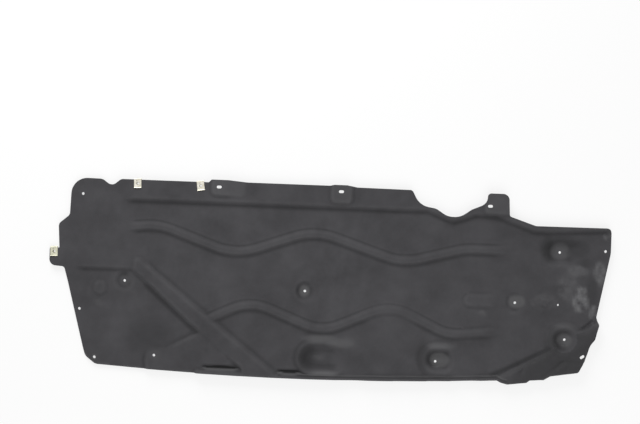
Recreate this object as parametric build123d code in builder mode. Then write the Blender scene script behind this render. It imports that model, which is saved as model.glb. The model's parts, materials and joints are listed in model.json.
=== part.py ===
from build123d import *
from math import radians, tan
import os

# Underbody cover of a car: one pressed-fibre panel, and three sheet-metal clip nuts on its edge.
# Millimetres. X runs along the car, Y across it, +Z is up, and the panel rests on its screw seats.

# Panel
LENGTH = 1402.0
WIDTH = 488.0
SHEET = 3.0

# Heights of the pressed forms, from the field unless said otherwise
SEAT_DEPTH = 9.0
SUNKEN_DEPTH = 5.0
FLANGE_RISE = 7.0
BEAD_RISE = 5.0
BAND_RISE = 8.0
LIP_RISE = 10.0
LEDGE_RISE = 6.0  # above the sunken field
TIP_RISE = 3.0  # above the raised corner
MOUND_RISE = 7.0
BOSS_RISE = 4.0  # above the flange
PAD_RISE = 3.0
GUTTER_DEPTH = 6.0

# Plan sizes and slopes of the pressed forms
FLANGE_WIDTH = 61.0
EDGE_SETBACK = 7.0  # the flange's plain edge behind the edge of its bosses
LIP_WIDTH = 14.0
GUTTER_WIDTH = 10.0
BEAD_WIDTH = 25.0
UPPER_BEND = 160.0
LOWER_BEND = 115.0
TAB_TOP = 59.6
DRAFT = 40.0
STEEP_DRAFT = 30.0
DISH_DRAFT = 50.0
BOWL_DRAFT = 60.0
SHALLOW_DRAFT = 65.0
PAD_LENGTH = 88.0
PAD_WIDTH = 33.0
BOSS_FILLET = 14.0

# Holes
SEAT_HOLE_R = 3.3
RIM_HOLE_R = 3.5
PILOT_HOLE_R = 2.5
SLOT_LENGTH = 12.5
SLOT_R = 3.5
SLOT_INSET = 18.0
CLIP_HOLE_R = 5.0

# Clip nuts
CLIP_WIDTH = 18.0
CLIP_GAUGE = 0.8
CLIP_REACH = 9.5
CLIP_SLACK = 1.4  # lets a clip sit askew
CLIP_TAIL = 9.5
FLARE_LENGTH = 2.0
FLARE_RISE = 1.0
FLARE_BEND = 2.0
NUT_WIDTH = 9.0
NUT_LENGTH = 4.0
THREAD_R = 2.5
SCREW_HOLE_R = 3.6

# Edges of the panel, and levels of its upper face
right = LENGTH / 2
left = -right
inner = WIDTH / 2
outer = -inner
seat_z = SHEET
field_z = seat_z + SEAT_DEPTH
sunken_z = field_z - SUNKEN_DEPTH
ledge_z = sunken_z + LEDGE_RISE
flange_z = field_z + FLANGE_RISE
crest_z = field_z + MOUND_RISE
lip_z = field_z + LIP_RISE
fold = inner - FLANGE_WIDTH
flange_edge = inner - EDGE_SETBACK
margin = 40.0
depth = lip_z + margin

# Screw holes in the seats and on the ledge, and the foot that has none
left_seat = (left + 188, -17)
ledge_hole = (left + 270, outer + 44)
lip_seat = (right - 427, outer + 54)
middle_seat = (-60, -26)
row_seat = (right - 234, -35)
end_seat = (right - 125, 95)
heel_seat = (right - 106, -123)
plain_foot = (left + 691, outer + 51)

# Clip nuts: screw axis, level of the face under the clip, and turn about the axis
clip_places = {
    "top_edge_clip_left": ((left + 215, flange_edge - CLIP_REACH, flange_z), 2.0),
    "top_edge_clip_right": ((left + 372, flange_edge - CLIP_REACH, flange_z), 8.0),
    "side_edge_clip": ((left + 11, TAB_TOP - CLIP_REACH, field_z), 2.0),
}


def inset(points, amount):
    """An anticlockwise polygon with each side moved inwards by the amount, and mitred corners."""
    moved = []
    for before, here, after in zip(points[-1:] + points[:-1], points, points[1:] + points[:1]):
        arriving = (Vector(*here) - Vector(*before)).normalized()
        leaving = (Vector(*after) - Vector(*here)).normalized()
        inward_1 = Vector(-arriving.Y, arriving.X)
        inward_2 = Vector(-leaving.Y, leaving.X)
        shift = (inward_1 + inward_2) * (amount / (1 + inward_1.dot(inward_2)))
        moved.append((here[0] + shift.X, here[1] + shift.Y))
    return moved


def frustum(low, high, low_z, high_z, mode):
    """A block with flat walls between two polygons that have the same number of corners."""
    outlines = []
    for points, z in ((low, low_z), (high, high_z)):
        with BuildSketch(Plane.XY.offset(z)) as plan:
            with BuildLine():
                Polyline(*points, close=True)
            make_face()
        outlines.append(plan.sketch)
    loft(outlines, ruled=True, mode=mode)


def polygon_block(points, base_z, rise, draft):
    """A raised area with drafted walls. Its points run anticlockwise round its foot."""
    crest = inset(points, rise * tan(radians(draft)))
    frustum(points, crest, base_z, base_z + rise, Mode.ADD)


def polygon_sink(points, mouth_z, floor_z, draft):
    """A sunken area with drafted walls. Its points run anticlockwise round its mouth."""
    floor = inset(points, (mouth_z - floor_z) * tan(radians(draft)))
    frustum(floor, points, floor_z, mouth_z, Mode.SUBTRACT)


def mound(x, y, length, width, draft):
    """A raised oval of the given crest size, with sloped sides rooted as deep as the gutters."""
    root_z = field_z - GUTTER_DEPTH
    spread = 2 * (crest_z - root_z) * tan(radians(draft))
    with BuildSketch(Plane.XY.offset(root_z)) as plan:
        with Locations((x, y)):
            SlotOverall(length + spread, width + spread)
    extrude(plan.sketch, amount=crest_z - root_z, taper=draft)


def seat(x, y, floor_r, mouth_z, draft):
    """A screw seat: a round flat floor at the lowest level, and a conical wall up to its mouth."""
    height = mouth_z + SHEET - seat_z
    with Locations((x, y, seat_z)):
        Cone(
            floor_r,
            floor_r + height * tan(radians(draft)),
            height,
            align=(Align.CENTER, Align.CENTER, Align.MIN),
            mode=Mode.SUBTRACT,
        )


def dish(x, y, length, width, mouth_z, sink, draft):
    """An oval hollow of the given mouth size, with sloped sides and a flat bottom."""
    spread = 2 * sink * tan(radians(draft))
    with BuildSketch(Plane.XY.offset(mouth_z - sink)) as plan:
        with Locations((x, y)):
            SlotOverall(length - spread, width - spread)
    extrude(plan.sketch, amount=sink + 2 * SHEET, taper=-draft, mode=Mode.SUBTRACT)


def bead(corners, bend):
    """A flat-topped bead with sloped sides along a wavy centreline, and with round ends."""
    slope = tan(radians(DISH_DRAFT))
    root_half = BEAD_WIDTH / 2 + SHEET * slope
    crest_half = BEAD_WIDTH / 2 - BEAD_RISE * slope
    with BuildLine() as route:
        FilletPolyline(*[(x, y, field_z) for x, y in corners], radius=bend)
    start = route.line @ 0
    along = route.line % 0
    with BuildSketch(Plane(origin=start, x_dir=(-along.Y, along.X, 0), z_dir=along)) as section:
        with BuildLine():
            Polyline(
                (-root_half, -SHEET),
                (root_half, -SHEET),
                (crest_half, BEAD_RISE),
                (-crest_half, BEAD_RISE),
                close=True,
            )
        make_face()
    sweep(section.sketch, path=route.line)
    with Locations(start - (0, 0, SHEET), route.line @ 1 - (0, 0, SHEET)):
        Cone(
            root_half,
            crest_half,
            SHEET + BEAD_RISE,
            align=(Align.CENTER, Align.CENTER, Align.MIN),
        )


# The press form: a block whose upper face carries every pressed shape of the panel
with BuildPart() as form:
    with Locations((0, 0, field_z)):
        Box(
            LENGTH + 2 * margin,
            WIDTH + 2 * margin,
            depth,
            align=(Align.CENTER, Align.CENTER, Align.MAX),
        )

    # Sunken field at the left outer corner, with a hollow before the ledge
    polygon_sink(
        [
            (left - margin, outer - margin),
            (left + 526, outer - margin),
            (left + 511, outer + 16),
            (left + 366, -114),
            (left + 211, 14),
            (left - margin, 14),
        ],
        field_z,
        sunken_z,
        DRAFT,
    )
    dish(left + 261, -152, 88, 62, sunken_z, sunken_z - seat_z, SHALLOW_DRAFT)

    # Flange along the inner edge: its fold follows the cut-out beside the tab
    polygon_block(
        [
            (left + 150, inner + margin),
            (left + 160, inner - 32),
            (left + 185, fold),
            (right - 531, fold - 1),
            (right - 461, fold),
            (right - 430, fold - 13),
            (right - 400, fold - 25),
            (right - 373, fold - 18),
            (right - 341, fold - 6),
            (right - 291, fold - 6),
            (right - 241, fold - 25),
            (right - 196, fold - 41),
            (right - 160, fold - 42),
            (right + margin, fold - 30),
            (right + margin, inner + margin),
        ],
        field_z,
        FLANGE_RISE,
        DRAFT,
    )

    # Ledge that carries one screw hole, beside the diagonal band
    polygon_block(
        [
            (left + 256, outer - margin),
            (left + 501, outer - margin),
            (left + 501, outer + 5),
            (left + 405, -150),
            (left + 385, -133),
            (left + 297, -179),
            (left + 260, -182),
            (left + 248, -193),
            (left + 245, -215),
        ],
        sunken_z,
        LEDGE_RISE,
        DRAFT,
    )

    # Diagonal band: its inner side slopes gently, its outer side falls to the sunken field
    with BuildSketch(Plane.XY.offset(seat_z)):
        with BuildLine():
            Polyline(
                (left + 205, 50),
                (left + 241, 52),
                (left + 611, outer + 5),
                (left + 611, outer - margin),
                (left + 487, outer - margin),
                (left + 482, outer + 14),
                (left + 344, -119),
                (left + 202, 6),
                close=True,
            )
        make_face()
    with BuildSketch(Plane.XY.offset(field_z + BAND_RISE)):
        with BuildLine():
            Polyline(
                (left + 215, 36),
                (left + 221, 38),
                (left + 567, outer + 9),
                (left + 591, outer - margin),
                (left + 495, outer - margin),
                (left + 491, outer + 21),
                (left + 354, -110),
                (left + 214, 15),
                close=True,
            )
        make_face()
    loft(ruled=True)

    # Gutters on both sides of the band's end, behind the lip
    for x_low, x_high, y_low, foot_z in (
        (left + 391, left + 485, outer + 15, ledge_z),
        (left + 579, left + 641, outer + 11, field_z),
    ):
        polygon_sink(
            [
                (x_low, y_low),
                (x_high, y_low),
                (x_high, y_low + GUTTER_WIDTH),
                (x_low, y_low + GUTTER_WIDTH),
            ],
            foot_z,
            foot_z - GUTTER_DEPTH,
            STEEP_DRAFT,
        )

    # Lip along the outer edge, and the raised right outer corner with its higher tip
    polygon_block(
        [
            (left + 361, outer - margin),
            (right - 261, outer - margin),
            (right - 261, outer + 14 + LIP_WIDTH),
            (right - 441, outer + 2 + LIP_WIDTH),
            (-20, outer - 2 + LIP_WIDTH),
            (left + 371, outer + 3 + LIP_WIDTH),
        ],
        sunken_z,
        lip_z - sunken_z,
        STEEP_DRAFT,
    )
    polygon_block(
        [
            (right - 276, outer - margin),
            (right + margin, outer - margin),
            (right + margin, outer + 190),
            (right - 20, outer + 177),
            (right - 60, outer + 150),
            (right - 100, outer + 136),
            (right - 149, outer + 94),
            (right - 276, outer + 25),
        ],
        field_z,
        LIP_RISE,
        STEEP_DRAFT,
    )
    polygon_block(
        [
            (right - 170, outer - margin),
            (right + margin, outer - margin),
            (right + margin, outer + 60),
            (right - 72, outer + 66),
            (right - 112, outer + 67),
            (right - 165, outer + 22),
        ],
        lip_z,
        TIP_RISE,
        DRAFT,
    )

    # Mounds that ring three of the screw seats
    heel_x, heel_y = heel_seat
    lip_x, lip_y = lip_seat
    mound(*plain_foot, 126, 80, DRAFT)
    mound(lip_x + 10, lip_y + 5, 80, 62, SHALLOW_DRAFT)
    mound(heel_x - 3, heel_y, 66, 63, SHALLOW_DRAFT)

    # Wavy beads, which stretch with the panel: each place along it is a share of half the length
    upper_wave = [
        *((-0.725, 118), (-0.613, 126), (-0.337, 57), (-0.057, 126)),
        *((0.260, 53), (0.479, 94), (0.658, 94)),
    ]
    lower_wave = [
        *((-0.451, -113), (-0.278, -56), (-0.019, -127)),
        *((0.221, -53), (0.431, -122), (0.626, -107)),
    ]
    bead([(share * right, y) for share, y in upper_wave], UPPER_BEND)
    bead([(share * right, y) for share, y in lower_wave], LOWER_BEND)

    # Screw seats: three are oval, and the one without a hole is a plain foot
    seat(*left_seat, 16, sunken_z, SHALLOW_DRAFT)
    dish(*plain_foot, 122, 76, crest_z, crest_z - seat_z, DISH_DRAFT)
    dish(lip_x + 10, lip_y + 5, 76, 58, crest_z, crest_z - seat_z, DRAFT)
    seat(heel_x - 3, heel_y, 17, lip_z, DRAFT)
    seat(*middle_seat, 14, field_z, DISH_DRAFT)
    seat(*row_seat, 14, field_z, DISH_DRAFT)
    dish(end_seat[0] + 15, end_seat[1], 120, 66, field_z, SEAT_DEPTH, BOWL_DRAFT)

    # Low pads on the field and on the sunken field
    with BuildSketch(Plane.XY.offset(field_z)):
        with Locations((right - 320, -33)):
            SlotOverall(PAD_LENGTH, PAD_WIDTH)
    extrude(amount=PAD_RISE, taper=DRAFT)
    with BuildSketch(Plane.XY.offset(sunken_z)):
        with Locations((left + 128, -36)):
            SlotOverall(PAD_WIDTH + 4, PAD_WIDTH - 2, rotation=90)
    extrude(amount=PAD_RISE, taper=DRAFT)

    # Bosses on the flange and on its tab, open towards the inner edge
    with BuildSketch(Plane.XY.offset(flange_z)):
        for x_low, x_high, reach in (
            (left + 398, left + 486, 42),
            (-5, 52, 50),
            (right - 321, right - 243, 63),
        ):
            with Locations(((x_low + x_high) / 2, inner + (margin - reach) / 2)):
                RectangleRounded(x_high - x_low, margin + reach, BOSS_FILLET)
    extrude(amount=BOSS_RISE, taper=DRAFT)

# The form again, one sheet thickness lower
with BuildPart() as backing:
    with Locations((0, 0, -SHEET)):
        add(form.part)

# The panel: the sheet between the form and its backing, trimmed to the outline and pierced
with BuildPart() as panel:
    add(form.part)
    add(backing.part, mode=Mode.SUBTRACT)
    with BuildSketch():
        with BuildLine():
            side = FilletPolyline(
                (left + 209, outer + 11),
                (left + 123, outer + 16),
                (left + 97, outer + 36),
                (left + 90, outer + 59),
                (left + 37, 13),
                (left, 16),
                (left, TAB_TOP),
                (left + 24, TAB_TOP),
                (left + 20, 120),
                (left + 47, 143),
                (left + 50, inner - 7),
                (left + 125, inner - 8),
                (left + 150, inner - 26),
                (left + 173, flange_edge),
                (left + 392, flange_edge),
                (left + 399, inner),
                (left + 441, inner),
                (left + 488, inner - 4),
                (-6, inner - 4),
                (4, inner - 1.5),
                (36, inner - 1.5),
                (62, inner - 6),
                (right - 502, inner - 7),
                (right - 483, inner - 44),
                (right - 441, inner - 51),
                (right - 412, inner - 70),
                (right - 380, inner - 70),
                (right - 352, inner - 50),
                (right - 314, inner - 34),
                (right - 314, inner - 8),
                (right - 261, inner - 8),
                (right - 258, inner - 63),
                (right - 191, inner - 85),
                (right, inner - 84),
                (right, 97),
                (right - 30, -63),
                (right - 25, -83),
                (right - 34, -119),
                (right - 45, -133),
                (right - 58, outer + 71),
                (right - 73, outer + 42),
                (right - 143, outer + 31),
                (right - 159, outer + 21),
                (right - 193, outer + 18),
                (right - 201, outer + 12),
                (right - 249, outer + 6),
                (right - 265, outer + 10),
                (right - 275, outer + 15),
                radius=[
                    *(20, 25, 12, 8, 16, 3, 2, 14, 14, 40, 20, 18, 16),
                    *(3, 3, 20, 20, 4, 4, 10, 12),
                    *(10, 45, 25, 45, 45, 30, 24, 9, 16, 8, 20),
                    *(14, 80, 8, 10, 8, 9, 25, 9),
                    *(10, 8, 5, 5, 9, 6),
                ],
            )
            ThreePointArc(side @ 1, (-40, outer), side @ 0)
        make_face()
    extrude(amount=depth, both=True, mode=Mode.INTERSECT)

    # Holes: screw seats, plain rim holes, a pilot hole, slots, and those under the clip nuts
    seat_holes = (left_seat, ledge_hole, lip_seat, middle_seat, row_seat, end_seat, heel_seat)
    rim_holes = (
        (left + 78, inner - 47),
        (left + 78, -91),
        (left + 120, outer + 33),
        (right - 13, 102),
    )
    clip_holes = [axis[:2] for axis, _ in clip_places.values()]
    with BuildSketch():
        with Locations(*seat_holes):
            Circle(SEAT_HOLE_R)
        with Locations(*rim_holes):
            Circle(RIM_HOLE_R)
        with Locations((right - 127, -36)):
            Circle(PILOT_HOLE_R)
        with Locations(*clip_holes):
            Circle(CLIP_HOLE_R)
        with Locations((left + 418.5, inner - SLOT_INSET), (22, inner - SLOT_INSET), (right - 307, inner - 40)):
            SlotOverall(SLOT_LENGTH, 2 * SLOT_R)
        with Locations(Location((right - 64, outer + 81), 35)):
            SlotOverall(SLOT_LENGTH, 2 * SLOT_R)
    extrude(amount=depth, both=True, mode=Mode.SUBTRACT)

# The clip nut on its screw axis: two sprung legs that hug the sheet, joined by a bend round its edge
with BuildPart() as clip_nut:
    leg_z = CLIP_GAUGE / 2
    bend_r = (SHEET + CLIP_GAUGE) / 2
    bend_y = CLIP_REACH + CLIP_SLACK + bend_r
    low_leg_z = leg_z - 2 * bend_r
    with BuildSketch(Plane.YZ):
        with BuildLine() as strip:
            upper_leg = FilletPolyline(
                (-CLIP_TAIL - FLARE_LENGTH, leg_z + FLARE_RISE),
                (-CLIP_TAIL, leg_z),
                (bend_y - bend_r, leg_z),
                radius=FLARE_BEND,
            )
            bend = ThreePointArc(
                upper_leg @ 1,
                (bend_y, leg_z - bend_r),
                (bend_y - bend_r, low_leg_z),
            )
            Line(bend @ 1, (-CLIP_TAIL, low_leg_z))
        trace(line_width=CLIP_GAUGE)
    extrude(amount=CLIP_WIDTH / 2, both=True)
    with BuildSketch(Plane.XY.offset(-SHEET - CLIP_GAUGE)):
        Rectangle(NUT_WIDTH, NUT_WIDTH)
    extrude(amount=-NUT_LENGTH)
    with BuildSketch(Plane.XY.offset(-SHEET / 2)):
        Circle(THREAD_R)
    extrude(amount=-SHEET - CLIP_GAUGE - NUT_LENGTH, mode=Mode.SUBTRACT)
    with BuildSketch(Plane.XY.offset(-SHEET / 2)):
        Circle(SCREW_HOLE_R)
    extrude(amount=SHEET + CLIP_GAUGE, mode=Mode.SUBTRACT)

os.makedirs("parts", exist_ok=True)
panel.part.label = "panel"
export_step(panel.part, "parts/panel.step")
for name, (axis, turn) in clip_places.items():
    with BuildPart() as placed_clip:
        with Locations(Location(axis, (0, 0, turn))):
            add(clip_nut.part)
    placed_clip.part.label = name
    export_step(placed_clip.part, f"parts/{name}.step")
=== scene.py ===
import bpy
import bmesh
import json
import math
import numpy as np
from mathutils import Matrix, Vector, noise
from mathutils.bvhtree import BVHTree
from mathutils.geometry import delaunay_2d_cdt
from mathutils.kdtree import KDTree


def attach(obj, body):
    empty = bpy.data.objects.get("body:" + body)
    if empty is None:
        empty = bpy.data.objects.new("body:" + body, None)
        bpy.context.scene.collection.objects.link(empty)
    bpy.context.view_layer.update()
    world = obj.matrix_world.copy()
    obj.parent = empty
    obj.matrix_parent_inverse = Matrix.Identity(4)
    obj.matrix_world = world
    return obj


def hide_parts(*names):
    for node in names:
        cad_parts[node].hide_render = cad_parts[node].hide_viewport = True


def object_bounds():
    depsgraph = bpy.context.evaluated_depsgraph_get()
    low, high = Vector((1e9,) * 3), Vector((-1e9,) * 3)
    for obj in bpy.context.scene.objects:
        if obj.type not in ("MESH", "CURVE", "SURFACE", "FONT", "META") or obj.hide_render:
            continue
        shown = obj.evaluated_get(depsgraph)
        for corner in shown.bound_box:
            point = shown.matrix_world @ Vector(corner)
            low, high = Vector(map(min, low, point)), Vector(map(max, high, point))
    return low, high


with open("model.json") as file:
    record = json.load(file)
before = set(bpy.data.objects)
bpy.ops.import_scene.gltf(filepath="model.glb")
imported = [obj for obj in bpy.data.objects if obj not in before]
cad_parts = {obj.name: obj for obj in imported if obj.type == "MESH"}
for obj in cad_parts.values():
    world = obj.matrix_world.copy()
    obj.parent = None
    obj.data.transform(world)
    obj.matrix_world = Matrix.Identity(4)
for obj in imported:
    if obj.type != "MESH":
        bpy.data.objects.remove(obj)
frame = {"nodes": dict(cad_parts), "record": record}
cad_low, cad_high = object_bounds()

# Lengths and places are in metres. An oval is centre x, centre y, half length, half width, strength.

# Dense sheet over the panel: thickness, distance between points, and gap to the rim in those distances
SHEET = 0.003
SPACING = 0.003
EDGE_KEEP = 0.6
# Reach of the full density round a slope, in grid steps
RELIEF_REACH = 4
# Reading the solid: tolerances, height where rays start, and digits that tell points apart
WELD = 1e-5
MERGE = 1e-7
CLIMB = 1e-4
RAY_START = 1.0
KEY_DIGITS = 5
# Kind of triangulation: triangles over the points' convex hull
HULL_TRIANGLES = 0
# Upward share of a face's normal: of walls, of faces seen from above, of gentle slopes and of flat faces
UPRIGHT = 0.02
FACING_UP = 0.2
GENTLE = 0.98
FLAT = 0.9995
# Rounds of averaging over neighbours, and the share taken in each round of smoothing
SMOOTH_ROUNDS = 3
SMOOTH_SHARE = 0.5
WIDE_ROUNDS = 7
PIT_ROUNDS = 14
FADE_ROUNDS = 105
# Angle in degrees above which an edge stays sharp
SPLIT_ANGLE = 62
# Slight wave of the sheet
WAVE = 0.0007
WAVE_FREQUENCY = 7.0
# Crumpled right outer corner
CRUMPLE = 0.0045
CRUMPLE_FREQUENCY = 34.0
CRUMPLE_LAYER = 0.3
CRUMPLE_PLACE = (0.60, -0.185)
CRUMPLE_REACH = 0.17
CORNER_LEVEL = 0.0205
# Wrinkles of that corner: start x, start y, end x, end y; then their depth and half width
WRINKLES = (
    (0.450, -0.210, 0.481, -0.193),
    (0.481, -0.193, 0.527, -0.169),
    (0.486, -0.206, 0.494, -0.194),
    (0.571, -0.196, 0.590, -0.177),
    (0.640, -0.094, 0.662, -0.074),
)
WRINKLE = 0.0028
WRINKLE_HALF = 0.0065
# Ovals where a pressed form runs out softly
FADES = (
    (0.062, -0.190, 0.060, 0.080, 1.0),
    (-0.005, -0.172, 0.075, 0.050, 0.6),
    (0.595, -0.098, 0.055, 0.040, 0.4),
    (-0.300, -0.150, 0.036, 0.036, 0.8),
    (-0.267, -0.178, 0.036, 0.036, 0.8),
    (-0.243, -0.197, 0.032, 0.026, 0.6),
    (0.345, -0.185, 0.055, 0.075, 1.0),
    (0.650, 0.090, 0.055, 0.060, 1.0),
    (-0.588, 0.205, 0.090, 0.090, 1.0),
    (-0.524, 0.208, 0.038, 0.045, 0.9),
    (-0.478, 0.034, 0.036, 0.036, 0.6),
    (-0.474, -0.006, 0.040, 0.036, 0.6),
    (-0.222, 0.226, 0.050, 0.040, 1.0),
    (0.478, 0.094, 0.080, 0.040, 0.9),
    (0.456, -0.107, 0.070, 0.040, 0.9),
    (-0.532, 0.118, 0.055, 0.040, 1.0),
    (-0.440, -0.152, 0.075, 0.060, 0.9),
    (-0.668, 0.014, 0.055, 0.045, 1.0),
    (0.440, -0.033, 0.050, 0.035, 0.9),
    (-0.038, -0.026, 0.040, 0.040, 0.5),
    (0.490, -0.035, 0.040, 0.040, 0.5),
    (0.155, -0.078, 0.090, 0.034, 0.5),
    (0.622, -0.138, 0.038, 0.045, 0.8),
)
# Fine roll in the sheet along the upper foot of each wavy bead: height, distance from the foot, half width
ROLL = 0.0006
ROLL_PLACE = 0.0062
ROLL_HALF = 0.0042
# Share of its distance from a foot by which a point of the roll lies towards the inner edge
ROLL_SIDE = 0.3
# Boxes that hold those feet: low x, high x, low y, high y
BEAD_BOXES = (
    (-0.50, 0.46, 0.02, 0.15),
    (-0.29, -0.24, -0.09, -0.02),
    (-0.24, 0.38, -0.135, -0.02),
)

# Bosses of the flange, lightened as a painted highlight: height where that starts, height over which it
# grows, edge in y, strength
BOSS_LEVEL = 0.0215
BOSS_RAMP = 0.001
BOSS_EDGE = 0.15
BOSS_SHARE = 0.3
# Painted shade in deep places: level below which they darken, and depth over which that grows
SUNKEN_LEVEL = 0.007
PIT_DEPTH = 0.004
# Hollow at which the painted shade of a crease is at its darkest
CREASE_DEPTH = 0.0010
# Outer lip: its edge in y, its span in x, and a line of painted shade and one of painted highlight at a
# distance from the rim, half width
LIP_EDGE = -0.2
LIP_SPAN = (-0.12, 0.45)
LIP_SHADE = (0.0068, 0.0026)
LIP_HIGHLIGHT = (0.0105, 0.0026)
# Gutters behind the lip, painted almost black as shade: middle x, middle y, half length, half width; then the
# width of the painted highlight on their brinks
GUTTERS = (
    (-0.263, -0.224, 0.047, 0.004),
    (-0.091, -0.228, 0.031, 0.004),
)
BRINK = 0.003
# Gains that give an oval a flat middle
PAD_GAIN = 3
SCUFF_GAIN = 1.6
GUTTER_GAIN = 4
BRINK_GAIN = 3
# Rubbed pads round the screw holes, lighter as compressed fibre and as painted light against the shade in the
# seats: mount, shift from it in x and y, half length, half width, strength
PADS = (
    ("left_seat", 0.007, 0.000, 0.021, 0.017, 0.2),
    ("ledge_hole", 0.004, 0.000, 0.016, 0.014, 0.3),
    ("lip_seat", 0.010, 0.005, 0.027, 0.020, 1.0),
    ("middle_seat", -0.002, 0.001, 0.014, 0.017, 1.0),
    ("row_seat", 0.003, 0.003, 0.022, 0.018, 0.9),
    ("end_seat", 0.000, 0.003, 0.026, 0.024, 0.5),
    ("heel_seat", -0.002, -0.001, 0.021, 0.018, 0.7),
)
# Painted highlights on the shoulders of the seats near the outer edge, and lighter spots on the sheet
SHOULDER_HIGHLIGHTS = (
    (-0.015, -0.143, 0.060, 0.012, 0.9),
    (0.035, -0.152, 0.050, 0.016, 0.7),
    (0.286, -0.149, 0.046, 0.011, 0.6),
    (0.596, -0.087, 0.036, 0.009, 0.4),
    (-0.021, -0.190, 0.020, 0.006, 0.7),
    (-0.004, -0.228, 0.045, 0.006, 1.0),
    (0.385, -0.063, 0.009, 0.007, 1.0),
    (-0.575, -0.073, 0.009, 0.007, 1.0),
)
# Scuffs at the right end
SCUFFS = (
    (0.630, -0.028, 0.024, 0.030, 1.0),
    (0.634, -0.004, 0.016, 0.020, 1.0),
    (0.664, -0.058, 0.014, 0.028, 0.7),
    (0.676, 0.046, 0.018, 0.034, 0.6),
    (0.620, 0.050, 0.030, 0.018, 0.3),
    (0.690, 0.140, 0.012, 0.014, 0.4),
    (0.596, 0.010, 0.034, 0.040, 0.25),
    (0.540, -0.030, 0.040, 0.024, 0.2),
)
# Painted shade in the corners of the seats and at the right end
SHADE_SPOTS = (
    (0.545, 0.104, 0.026, 0.044, 1.0),
    (0.580, 0.124, 0.050, 0.018, 0.7),
    (0.616, 0.106, 0.040, 0.032, 0.6),
    (-0.052, -0.187, 0.032, 0.044, 0.7),
    (0.241, -0.176, 0.026, 0.040, 0.7),
    (0.568, -0.126, 0.026, 0.040, 0.8),
    (-0.076, -0.022, 0.008, 0.018, 0.3),
    (0.448, -0.032, 0.008, 0.018, 0.5),
    (-0.442, -0.152, 0.085, 0.066, 0.45),
    (0.656, -0.002, 0.022, 0.050, 0.6),
    (0.640, 0.070, 0.030, 0.016, 0.4),
)
# Streaks of painted shade along steps: start x, start y, end x, end y, half width, strength
SHADE_STREAKS = (
    (0.415, -0.216, 0.562, -0.146, 0.010, 0.8),
    (0.567, -0.108, 0.567, -0.146, 0.009, 0.5),
)

# Grain of the materials: scale, detail, stretch, turn
FELT_ALONG = (420, 4, (1, 4, 1), 0.5)
FELT_ACROSS = (380, 4, (4, 1, 1), -0.4)
SPECK_GRAIN = (1100, 2)
MOTTLE_GRAIN = (9, 4)
PATCH_GRAIN = (38, 3)
SCUFF_GRAIN = (38, 4)
ROLLED_GRAIN = (900, 2, (1, 14, 1))
DULL_GRAIN = (160, 4)
# Ramps of the fibre: value from, value to, result from, result to
FELT_TONE = (0.35, 0.65, -0.2, 0.2)
MOTTLE_TONE = (0.3, 0.7, -0.25, 0.25)
PATCH_TONE = (0.3, 0.7, -0.12, 0.12)
LINT_SPECKS = (0.70, 0.78)
LINT_PATCHES = (0.45, 0.7)
SCUFF_PATCHES = (0.34, 0.62)
# Ramps of the painted shade in the creases and of the painted highlight on the ridges
CREASE_SHADE_SHARE = (0.15, 1.0, 0.0, 0.35)
RIDGE_HIGHLIGHT_SHARE = (-0.15, -1.0, 0.0, 0.12)
FIBRE_ROUGHNESS = (0.3, 0.7, 0.78, 0.92)
# Colours and shares of the fibre
MIDDLE_TONE = 0.45
FIBRE_DARK = (0.034, 0.033, 0.036, 1)
FIBRE_LIGHT = (0.066, 0.065, 0.070, 1)
LINT_SHARE = 0.3
LINT_COLOUR = (0.16, 0.16, 0.16, 1)
# Colours of the painted shade in the creases and of the painted highlight on the ridges
CREASE_SHADE_COLOUR = (0.010, 0.010, 0.011, 1)
RIDGE_HIGHLIGHT_COLOUR = (0.11, 0.11, 0.114, 1)
SCUFF_SHARE = 0.75
SCUFF_COLOUR = (0.17, 0.17, 0.175, 1)
# Marks on the fibre in the order they are laid, painted shade and painted highlights among them: attribute,
# share, colour
MARKS = (
    # Painted shade in the deep places
    ("pit", 0.12, (0.018, 0.018, 0.019, 1)),
    # Painted shade in the seat corners, along steps and inside the lip
    ("dirt", 0.6, (0.012, 0.012, 0.013, 1)),
    # Painted shade in the gutters, almost black
    ("gutter", 0.85, (0.004, 0.004, 0.004, 1)),
    ("crumple", 0.55, (0.020, 0.020, 0.021, 1)),
    # Lighter rubbed pads, partly painted light, with painted highlights on the bosses and seat shoulders
    ("press", 0.4, (0.115, 0.115, 0.118, 1)),
    # Painted highlight along the rim of the lip, its light line and the brinks of the gutters
    ("worn", 0.4, (0.12, 0.12, 0.123, 1)),
)
# Surface of the fibre: loss of roughness where it is rubbed, shine, sheen, bumps of its patches and of all
RUBBED_SMOOTHER = 0.28
FIBRE_SPECULAR = 0.35
FIBRE_SHEEN = 0.08
PATCH_BUMP = 0.6
FIBRE_BUMP = (0.45, 0.0012)

CLIP_NODES = ("top_edge_clip_left", "top_edge_clip_right", "side_edge_clip")
# Small dark pip near the bend of each clip, measured from the clip's thread
THREADS = ("top_left_thread", "top_right_thread", "side_thread")
PIP_SHIFT = (-0.0025, 0.0065)
PIP_R = 0.0012
PIP_CORE = 0.7
PIP_COLOUR = (0.05, 0.045, 0.04, 1)
# Zinc plating of the clips: ramps and colours
DULL_SPOTS = (0.35, 0.65)
DULL_COLOUR = (0.70, 0.66, 0.53, 1)
BRIGHT_COLOUR = (0.86, 0.83, 0.74, 1)
ROLLED_SHARE = (0.4, 0.8, 0.0, 0.25)
ROLLED_COLOUR = (0.52, 0.49, 0.40, 1)
ZINC_ROUGHNESS = (0.3, 0.7, 0.38, 0.55)
ZINC_METALLIC = 0.35
ZINC_BUMP = (0.25, 0.0002)
# Painted shade, darker and greener, on the clip at the left end: x from, x to, share from, share to
SIDE_SHADE_SHARE = (-0.66, -0.67, 0.0, 0.5)
SIDE_SHADE_COLOUR = (0.60, 0.61, 0.42, 1)

# Sockets of the mix node for colours
MIX_SHARE, MIX_A, MIX_B, MIX_RESULT = 0, 6, 7, 2

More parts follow.
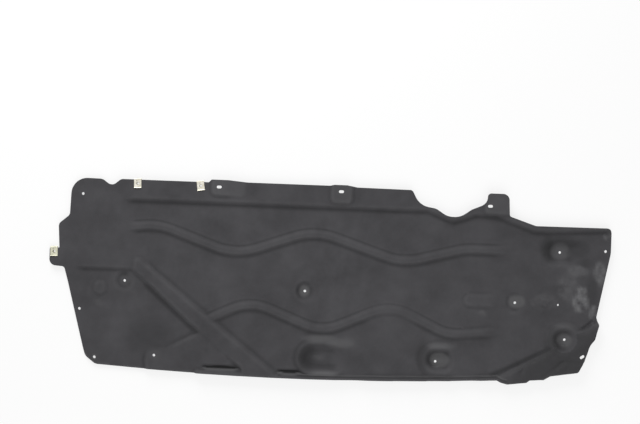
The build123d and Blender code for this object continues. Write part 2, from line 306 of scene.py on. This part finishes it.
# Floor, lamps and camera
FLOOR_SIZE = 14
FLOOR_LEVEL = -0.0005
FLOOR_COLOUR = (0.9, 0.9, 0.9, 1)
FLOOR_ROUGHNESS = 0.9
FLOOR_WHITE = 0.76
# Name, place, side, power
LAMPS = (
    ("window", (-0.9, 2.4, 1.35), 1.4, 60),
    ("fill", (0.5, -1.8, 2.2), 2.4, 33),
)
WORLD_COLOUR = (1, 1, 1, 1)
WORLD_STRENGTH = 0.48
CAMERA_PLACE = (-0.0295, 0.1735, 2.234)
CAMERA_TURN = 2.2
LENS = 50.0
SENSOR = 36.0

mounts = {mount["name"]: mount["pos_m"] for mount in frame["record"]["mounts"]}


def oval(x, y, centre_x, centre_y, half_length, half_width):
    """An oval mask: 1 at its centre and 0 from its rim outwards."""
    reach = np.hypot((x - centre_x) / half_length, (y - centre_y) / half_width)
    return np.clip(1 - reach**2, 0, 1)


def soft(mask):
    """The same mask with a gentle start and end."""
    return mask**2 * (3 - 2 * mask)


def plateau(mask, gain):
    """The same mask with a flat middle."""
    return np.minimum(gain * mask, 1)


def spots(x, y, ovals, gain=None):
    """The strongest of several ovals at each point: soft ones, or with flat middles where a gain is given."""
    strongest = np.zeros(len(x))
    for *place, strength in ovals:
        mask = oval(x, y, *place)
        mask = soft(mask) if gain is None else plateau(mask, gain)
        strongest = np.maximum(strongest, strength * mask)
    return strongest


def from_segment(x, y, start_x, start_y, end_x, end_y):
    """Distance of each point from a straight segment."""
    run_x, run_y = end_x - start_x, end_y - start_y
    along = ((x - start_x) * run_x + (y - start_y) * run_y) / (run_x**2 + run_y**2)
    along = np.clip(along, 0, 1)
    return np.hypot(x - start_x - along * run_x, y - start_y - along * run_y)


def line(distance, middle, half_width):
    """A soft line where a distance is near its middle value."""
    return np.clip(1 - ((distance - middle) / half_width) ** 2, 0, 1) ** 2


def panel_edges(mesh):
    """The welded solid, the upper edges of its trimmed and pierced walls, and the feet of its beads."""
    solid = bmesh.new()
    solid.from_mesh(mesh)
    bmesh.ops.remove_doubles(solid, verts=solid.verts, dist=WELD)
    solid.normal_update()
    rim, feet = [], []
    for edge in solid.edges:
        if len(edge.link_faces) != 2:
            continue
        ends = tuple(vert.co.copy() for vert in edge.verts)
        steep, level = sorted(edge.link_faces, key=lambda face: face.normal.z)
        if abs(steep.normal.z) < UPRIGHT and level.normal.z > FACING_UP:
            rim.append(ends)
        climbs = steep.calc_center_median().z > ends[0].z + CLIMB
        middle = (ends[0] + ends[1]) / 2
        boxed = any(a < middle.x < b and c < middle.y < d for a, b, c, d in BEAD_BOXES)
        if boxed and climbs and level.normal.z > FLAT and FACING_UP < steep.normal.z < GENTLE:
            feet.append(ends)
    return solid, rim, feet


def edge_chain(edges):
    """Points along edges, no further apart than the mesh spacing, and the short edges between them."""
    points, links, known = [], [], {}

    def place(co):
        key = (round(co.x, KEY_DIGITS), round(co.y, KEY_DIGITS))
        if key not in known:
            known[key] = len(points)
            points.append(co.copy())
        return known[key]

    for a, b in edges:
        count = max(1, math.ceil((b - a).length / SPACING))
        chain = [place(a.lerp(b, i / count)) for i in range(count + 1)]
        links.extend((i, j) for i, j in zip(chain, chain[1:]) if i != j)
    return points, links


def plan_tree(points):
    """A search tree over points seen from above."""
    tree = KDTree(len(points))
    for index, point in enumerate(points):
        tree.insert((point.x, point.y, 0), index)
    tree.balance()
    return tree


def drop(tree, x, y):
    """The point where a ray straight down meets the panel, and the normal there."""
    return tree.ray_cast(Vector((x, y, RAY_START)), Vector((0, 0, -1)))[:2]


def field_points(tree, rim_tree):
    """Staggered grid points on the upper face, clear of its rim; a quarter of them where it is flat."""
    row_step = SPACING * math.sqrt(3) / 2
    rows = int((cad_high.y - cad_low.y) / row_step) + 1
    columns = int((cad_high.x - cad_low.x) / SPACING) + 1
    hits = {}
    relief = np.zeros((rows, columns), dtype=bool)
    corner = np.zeros((rows, columns), dtype=bool)
    for row in range(rows):
        y = cad_low.y + row * row_step
        for column in range(columns):
            x = cad_low.x + (column + 0.5 * (row % 2)) * SPACING
            hit, normal = drop(tree, x, y)
            if hit is not None and rim_tree.find(Vector((x, y, 0)))[2] > EDGE_KEEP * SPACING:
                hits[row, column] = hit
                relief[row, column] = normal.z < FLAT
                near = math.dist((x, y), CRUMPLE_PLACE) < CRUMPLE_REACH
                corner[row, column] = near and hit.z > CORNER_LEVEL
    for _ in range(RELIEF_REACH):
        relief[1:] |= relief[:-1]
        relief[:-1] |= relief[1:]
        relief[:, 1:] |= relief[:, :-1]
        relief[:, :-1] |= relief[:, 1:]
    dense = relief | corner
    return [hit for (row, column), hit in hits.items() if dense[row, column] or not (row % 2 or column % 2)]


def sides(face):
    """The directed edges round a face."""
    return zip(face, face[1:] + face[:1])


def neighbours(count, faces):
    """A function that averages a value over each point's neighbours, in one round or more."""
    edges = {tuple(sorted(side)) for face in faces for side in sides(face)}
    first, second = np.array(sorted(edges)).T
    degree = np.bincount(first, minlength=count) + np.bincount(second, minlength=count)
    degree = np.maximum(degree, 1)

    def average(values, rounds=1):
        for _ in range(rounds):
            total = np.bincount(first, weights=values[second], minlength=count)
            total += np.bincount(second, weights=values[first], minlength=count)
            values = total / degree
        return values

    return average


class Sheet:
    """The dense sheet in plan, with its heights on the solid and its distances from the rim and the beads."""

    def __init__(self, panel_mesh):
        solid, rim, feet = panel_edges(panel_mesh)
        tree = BVHTree.FromBMesh(solid)
        edge_points, links = edge_chain(rim)
        rim_tree = plan_tree(edge_points)
        feet_tree = plan_tree(edge_chain(feet)[0])
        points = edge_points + field_points(tree, rim_tree)
        flat = [Vector((p.x, p.y)) for p in points]
        plan = delaunay_2d_cdt(flat, links, [], HULL_TRIANGLES, MERGE)
        self.places, triangles, sources = plan[0], plan[2], plan[3]
        self.count = len(self.places)
        self.x, self.y = np.array([(p.x, p.y) for p in self.places]).T
        self.raw = np.array([points[source[0]].z if source else 0.0 for source in sources])
        on_rim = [bool(source) and source[0] < len(edge_points) for source in sources]
        self.on_rim = np.array(on_rim, dtype=float)
        self.faces = []
        for triangle in triangles:
            centre = sum((self.places[i] for i in triangle), Vector((0, 0))) / len(triangle)
            if drop(tree, centre.x, centre.y)[0] is not None:
                self.faces.append(tuple(triangle))
        solid.free()
        self.average = neighbours(self.count, self.faces)
        self.rim_distance = np.zeros(self.count)
        self.roll = np.zeros(self.count)
        for index, place in enumerate(self.places):
            spot = Vector((place.x, place.y, 0))
            self.rim_distance[index] = rim_tree.find(spot)[2]
            foot, _, distance = feet_tree.find(spot)
            if place.y - foot.y > ROLL_SIDE * distance:
                self.roll[index] = line(distance, ROLL_PLACE, ROLL_HALF)


def pressed_heights(sheet):
    """Heights of the upper side, and how far each point lies below the sheet round it."""
    height = sheet.raw.copy()
    for _ in range(SMOOTH_ROUNDS):
        height = height + SMOOTH_SHARE * (sheet.average(height) - height)
    height += ROLL * sheet.roll
    faded = sheet.average(sheet.raw, FADE_ROUNDS)
    for *place, strength in FADES:
        height += strength * soft(oval(sheet.x, sheet.y, *place)) * (faded - height)
    hollow = sheet.average(height, WIDE_ROUNDS) - height
    for index, place in enumerate(sheet.places):
        height[index] += WAVE * noise.noise(Vector((place.x, place.y, 0.0)) * WAVE_FREQUENCY)
        away = (place - Vector(CRUMPLE_PLACE)).length / CRUMPLE_REACH
        if away < 1:
            fold = noise.noise(Vector((place.x, place.y, CRUMPLE_LAYER)) * CRUMPLE_FREQUENCY)
            height[index] -= CRUMPLE * (1 - away) * abs(fold)
    for place in WRINKLES:
        height -= WRINKLE * line(from_segment(sheet.x, sheet.y, *place), 0, WRINKLE_HALF)
    return np.clip(height, SHEET, cad_high.z), hollow


def sheet_mesh(sheet, height):
    """A closed mesh of the sheet: its upper side, its underside and the walls at its rim."""
    count = sheet.count
    verts = [(p.x, p.y, z) for p, z in zip(sheet.places, height)]
    verts += [(p.x, p.y, z - SHEET) for p, z in zip(sheet.places, height)]
    polys = sheet.faces + [tuple(i + count for i in reversed(face)) for face in sheet.faces]
    uses = {}
    for face in sheet.faces:
        for side in sides(face):
            uses.setdefault(tuple(sorted(side)), []).append(side)
    open_sides = [users[0] for users in uses.values() if len(users) == 1]
    polys += [(b, a, a + count, b + count) for a, b in open_sides]
    mesh = bpy.data.meshes.new("pressed_panel")
    mesh.from_pydata(verts, [], polys)
    mesh.validate()
    mesh.update()
    mesh.polygons.foreach_set("use_smooth", [True] * len(mesh.polygons))
    return mesh


def surface_masks(sheet, hollow):
    """How strongly each mark shows at each point of the upper side, by the mark's name."""
    x, y, raw = sheet.x, sheet.y, sheet.raw
    # Painted highlight on the flange bosses
    boss = np.clip((raw - BOSS_LEVEL) / BOSS_RAMP, 0, 1) * (y > BOSS_EDGE)
    pads = [
        (mounts[seat][0] + shift_x, mounts[seat][1] + shift_y, *size_and_strength)
        for seat, shift_x, shift_y, *size_and_strength in PADS
    ]
    # Rubbed pads, partly painted light, and painted highlights on the seat shoulders
    rubbed_and_highlit = np.maximum(spots(x, y, pads, PAD_GAIN), spots(x, y, SHOULDER_HIGHLIGHTS))
    # Painted shade in the seat corners, along steps and inside the lip
    dirt = spots(x, y, SHADE_SPOTS)
    for *place, half_width, strength in SHADE_STREAKS:
        dirt = np.maximum(dirt, strength * line(from_segment(x, y, *place), 0, half_width))
    # Painted shade in the deep places
    pit = np.clip((SUNKEN_LEVEL - raw) / PIT_DEPTH, 0, 1)
    # Painted shade in the gutters, and painted highlight on their brinks
    gutter = np.zeros(sheet.count)
    brink_highlight = np.zeros(sheet.count)
    for middle_x, middle_y, half_length, half_width in GUTTERS:
        inside = plateau(oval(x, y, middle_x, middle_y, half_length, half_width), GUTTER_GAIN)
        beside = oval(x, y, middle_x, middle_y - BRINK, half_length + BRINK, half_width + BRINK)
        gutter = np.maximum(gutter, inside)
        brink_highlight = np.maximum(brink_highlight, plateau(beside, BRINK_GAIN) - inside)
    # Painted shade and painted highlight in lines along the lip
    on_lip = (y < LIP_EDGE) & (x > LIP_SPAN[0]) & (x < LIP_SPAN[1])
    lip_shade = on_lip * line(sheet.rim_distance, *LIP_SHADE)
    lip_highlight = on_lip * line(sheet.rim_distance, *LIP_HIGHLIGHT)
    rim_highlight = sheet.on_rim * (y < LIP_EDGE)
    return {
        "crease": np.clip(hollow / CREASE_DEPTH, -1, 1),
        "pit": sheet.average(pit, PIT_ROUNDS),
        "dirt": np.maximum(dirt, lip_shade),
        "press": sheet.average(np.maximum(BOSS_SHARE * boss, rubbed_and_highlit)),
        "scuff": spots(x, y, SCUFFS, SCUFF_GAIN),
        "gutter": gutter,
        "worn": np.maximum.reduce((rim_highlight, lip_highlight, brink_highlight)),
        "crumple": oval(x, y, *CRUMPLE_PLACE, CRUMPLE_REACH, CRUMPLE_REACH) * (raw > CORNER_LEVEL),
    }


def pressed_panel():
    """The panel as a dense sheet over the solid: the same forms with soft creases and a slight wave."""
    sheet = Sheet(frame["nodes"]["panel"].data)
    height, hollow = pressed_heights(sheet)
    mesh = sheet_mesh(sheet, height)
    for name, values in surface_masks(sheet, hollow).items():
        # The underside has no marks, and the painted shade of a crease of the upper side is a painted
        # highlight of a ridge there
        below = -values if name == "crease" else np.zeros(sheet.count)
        attribute = mesh.attributes.new(name, "FLOAT", "POINT")
        attribute.data.foreach_set("value", np.concatenate((values, below)))
    piece = bpy.data.objects.new("pressed_panel", mesh)
    bpy.context.collection.objects.link(piece)
    split = piece.modifiers.new("rim", "EDGE_SPLIT")
    split.split_angle = math.radians(SPLIT_ANGLE)
    return piece


class Nodes:
    """Short ways to add nodes to a material's tree."""

    def __init__(self, name):
        self.material = bpy.data.materials.new(name)
        self.material.use_nodes = True
        self.tree = self.material.node_tree
        self.shader = self.tree.nodes["Principled BSDF"]
        self.output = self.tree.nodes["Material Output"]
        self.place = self.tree.nodes.new("ShaderNodeTexCoord").outputs["Object"]

    def add(self, kind, **settings):
        node = self.tree.nodes.new(kind)
        for key, value in settings.items():
            setattr(node, key, value)
        return node

    def join(self, source, target):
        if hasattr(source, "links"):
            self.tree.links.new(source, target)
        else:
            target.default_value = source

    def grain(self, scale, detail, stretch=(1, 1, 1), turn=0.0):
        mapping = self.add("ShaderNodeMapping")
        mapping.inputs["Scale"].default_value = stretch
        mapping.inputs["Rotation"].default_value = (0, 0, turn)
        self.join(self.place, mapping.inputs["Vector"])
        texture = self.add("ShaderNodeTexNoise")
        texture.inputs["Scale"].default_value = scale
        texture.inputs["Detail"].default_value = detail
        self.join(mapping.outputs["Vector"], texture.inputs["Vector"])
        return texture.outputs["Fac"]

    def math(self, operation, a, b=0.0, clamp=False):
        node = self.add("ShaderNodeMath", operation=operation, use_clamp=clamp)
        self.join(a, node.inputs[0])
        self.join(b, node.inputs[1])
        return node.outputs[0]

    def ramp(self, value, low, high, to_low=0.0, to_high=1.0):
        node = self.add("ShaderNodeMapRange")
        for socket, item in zip(node.inputs, (value, low, high, to_low, to_high)):
            self.join(item, socket)
        return node.outputs[0]

    def blend(self, share, a, b):
        node = self.add("ShaderNodeMix", data_type="RGBA")
        self.join(share, node.inputs[MIX_SHARE])
        self.join(a, node.inputs[MIX_A])
        self.join(b, node.inputs[MIX_B])
        return node.outputs[MIX_RESULT]

    def attribute(self, name):
        return self.add("ShaderNodeAttribute", attribute_name=name).outputs["Fac"]

    def bump(self, value, strength, distance):
        node = self.add("ShaderNodeBump")
        node.inputs["Strength"].default_value = strength
        node.inputs["Distance"].default_value = distance
        self.join(value, node.inputs["Height"])
        self.join(node.outputs["Normal"], self.shader.inputs["Normal"])


def fibre_material():
    """Black pressed fibre: felted grain, soft mottling, painted shade in creases, hollows and seat corners,
    painted highlights on ridges, bosses, seat shoulders and the lip, shinier rubbed pads partly lightened as
    painted light, grey scuffs.
    """
    n = Nodes("pressed_fibre")
    fibre = n.math("MULTIPLY", n.math("ADD", n.grain(*FELT_ALONG), n.grain(*FELT_ACROSS)), 0.5)
    patch = n.grain(*PATCH_GRAIN)
    tone = n.math("ADD", n.ramp(fibre, *FELT_TONE), n.ramp(n.grain(*MOTTLE_GRAIN), *MOTTLE_TONE))
    tone = n.math("ADD", tone, n.ramp(patch, *PATCH_TONE))
    tone = n.math("ADD", tone, MIDDLE_TONE, clamp=True)
    colour = n.blend(tone, FIBRE_DARK, FIBRE_LIGHT)
    lint = n.math("MULTIPLY", n.ramp(n.grain(*SPECK_GRAIN), *LINT_SPECKS), n.ramp(patch, *LINT_PATCHES))
    colour = n.blend(n.math("MULTIPLY", lint, LINT_SHARE), colour, LINT_COLOUR)
    crease = n.attribute("crease")
    # Painted shade in the creases and painted highlight on the ridges
    colour = n.blend(n.ramp(crease, *CREASE_SHADE_SHARE), colour, CREASE_SHADE_COLOUR)
    colour = n.blend(n.ramp(crease, *RIDGE_HIGHLIGHT_SHARE), colour, RIDGE_HIGHLIGHT_COLOUR)
    for name, share, mark_colour in MARKS:
        colour = n.blend(n.math("MULTIPLY", n.attribute(name), share), colour, mark_colour)
    patches = n.ramp(n.grain(*SCUFF_GRAIN), *SCUFF_PATCHES)
    scuff = n.math("MULTIPLY", n.attribute("scuff"), patches, clamp=True)
    colour = n.blend(n.math("MULTIPLY", scuff, SCUFF_SHARE), colour, SCUFF_COLOUR)
    n.join(colour, n.shader.inputs["Base Color"])
    rubbed_and_highlit = n.math("MULTIPLY", n.attribute("press"), RUBBED_SMOOTHER)
    n.join(n.math("SUBTRACT", n.ramp(fibre, *FIBRE_ROUGHNESS), rubbed_and_highlit), n.shader.inputs["Roughness"])
    n.shader.inputs["Specular IOR Level"].default_value = FIBRE_SPECULAR
    n.shader.inputs["Sheen Weight"].default_value = FIBRE_SHEEN
    n.bump(n.math("ADD", fibre, n.math("MULTIPLY", patch, PATCH_BUMP)), *FIBRE_BUMP)
    return n.material


def zinc_material():
    """Pale zinc-plated steel with faint rolling marks, dull spots, a dark pip near each bend and painted
    shade on the clip at the left end.
    """
    n = Nodes("zinc_plated_steel")
    rolled = n.grain(*ROLLED_GRAIN)
    dull = n.grain(*DULL_GRAIN)
    colour = n.blend(n.ramp(dull, *DULL_SPOTS), DULL_COLOUR, BRIGHT_COLOUR)
    colour = n.blend(n.ramp(rolled, *ROLLED_SHARE), colour, ROLLED_COLOUR)
    split = n.add("ShaderNodeSeparateXYZ")
    n.join(n.place, split.inputs[0])
    # Painted shade, darker and greener, on the clip at the left end
    colour = n.blend(n.ramp(split.outputs["X"], *SIDE_SHADE_SHARE), colour, SIDE_SHADE_COLOUR)
    nearest = None
    for thread in THREADS:
        east = n.math("SUBTRACT", split.outputs["X"], mounts[thread][0] + PIP_SHIFT[0])
        north = n.math("SUBTRACT", split.outputs["Y"], mounts[thread][1] + PIP_SHIFT[1])
        squares = n.math("ADD", n.math("MULTIPLY", east, east), n.math("MULTIPLY", north, north))
        reach = n.math("SQRT", squares)
        nearest = reach if nearest is None else n.math("MINIMUM", nearest, reach)
    colour = n.blend(n.ramp(nearest, PIP_R, PIP_R * PIP_CORE), colour, PIP_COLOUR)
    n.join(colour, n.shader.inputs["Base Color"])
    n.join(n.ramp(dull, *ZINC_ROUGHNESS), n.shader.inputs["Roughness"])
    n.shader.inputs["Metallic"].default_value = ZINC_METALLIC
    n.bump(rolled, *ZINC_BUMP)
    return n.material


def floor_material():
    """Pale floor: nearly white to the camera, with the object's shadow left in."""
    n = Nodes("pale_floor")
    n.shader.inputs["Base Color"].default_value = FLOOR_COLOUR
    n.shader.inputs["Roughness"].default_value = FLOOR_ROUGHNESS
    light_path = n.add("ShaderNodeLightPath")
    seen = n.math("MAXIMUM", light_path.outputs["Is Camera Ray"], light_path.outputs["Is Glossy Ray"])
    seen = n.math("MAXIMUM", seen, light_path.outputs["Is Transmission Ray"])
    white = n.add("ShaderNodeEmission")
    mix = n.add("ShaderNodeMixShader")
    n.join(n.math("MULTIPLY", seen, FLOOR_WHITE), mix.inputs[0])
    n.join(n.shader.outputs[0], mix.inputs[1])
    n.join(white.outputs[0], mix.inputs[2])
    n.join(mix.outputs[0], n.output.inputs["Surface"])
    return n.material


def area_light(name, place, size, power):
    """A square lamp that faces the middle of the panel."""
    data = bpy.data.lights.new(name, "AREA")
    data.size = size
    data.energy = power
    lamp = bpy.data.objects.new(name, data)
    lamp.location = place
    lamp.rotation_euler = (-Vector(place)).to_track_quat("-Z", "Y").to_euler()
    bpy.context.collection.objects.link(lamp)


panel = pressed_panel()
panel.data.materials.append(fibre_material())
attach(panel, "root")
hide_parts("panel")

zinc = zinc_material()
for node_name in CLIP_NODES:
    clip = frame["nodes"][node_name]
    clip.data.materials.clear()
    clip.data.materials.append(zinc)

bpy.ops.mesh.primitive_plane_add(size=FLOOR_SIZE, location=(0, 0, FLOOR_LEVEL))
floor = bpy.context.object
floor.name = "floor"
floor.data.materials.append(floor_material())

for lamp_values in LAMPS:
    area_light(*lamp_values)

scene = bpy.context.scene
world = bpy.data.worlds.new("studio")
world.use_nodes = True
background = world.node_tree.nodes["Background"]
background.inputs["Color"].default_value = WORLD_COLOUR
background.inputs["Strength"].default_value = WORLD_STRENGTH
scene.world = world
scene.view_settings.view_transform = "Standard"

camera_data = bpy.data.cameras.new("camera")
camera_data.lens = LENS
camera_data.sensor_width = SENSOR
camera = bpy.data.objects.new("camera", camera_data)
camera.location = CAMERA_PLACE
camera.rotation_euler = (0, 0, math.radians(CAMERA_TURN))
bpy.context.collection.objects.link(camera)
scene.camera = camera
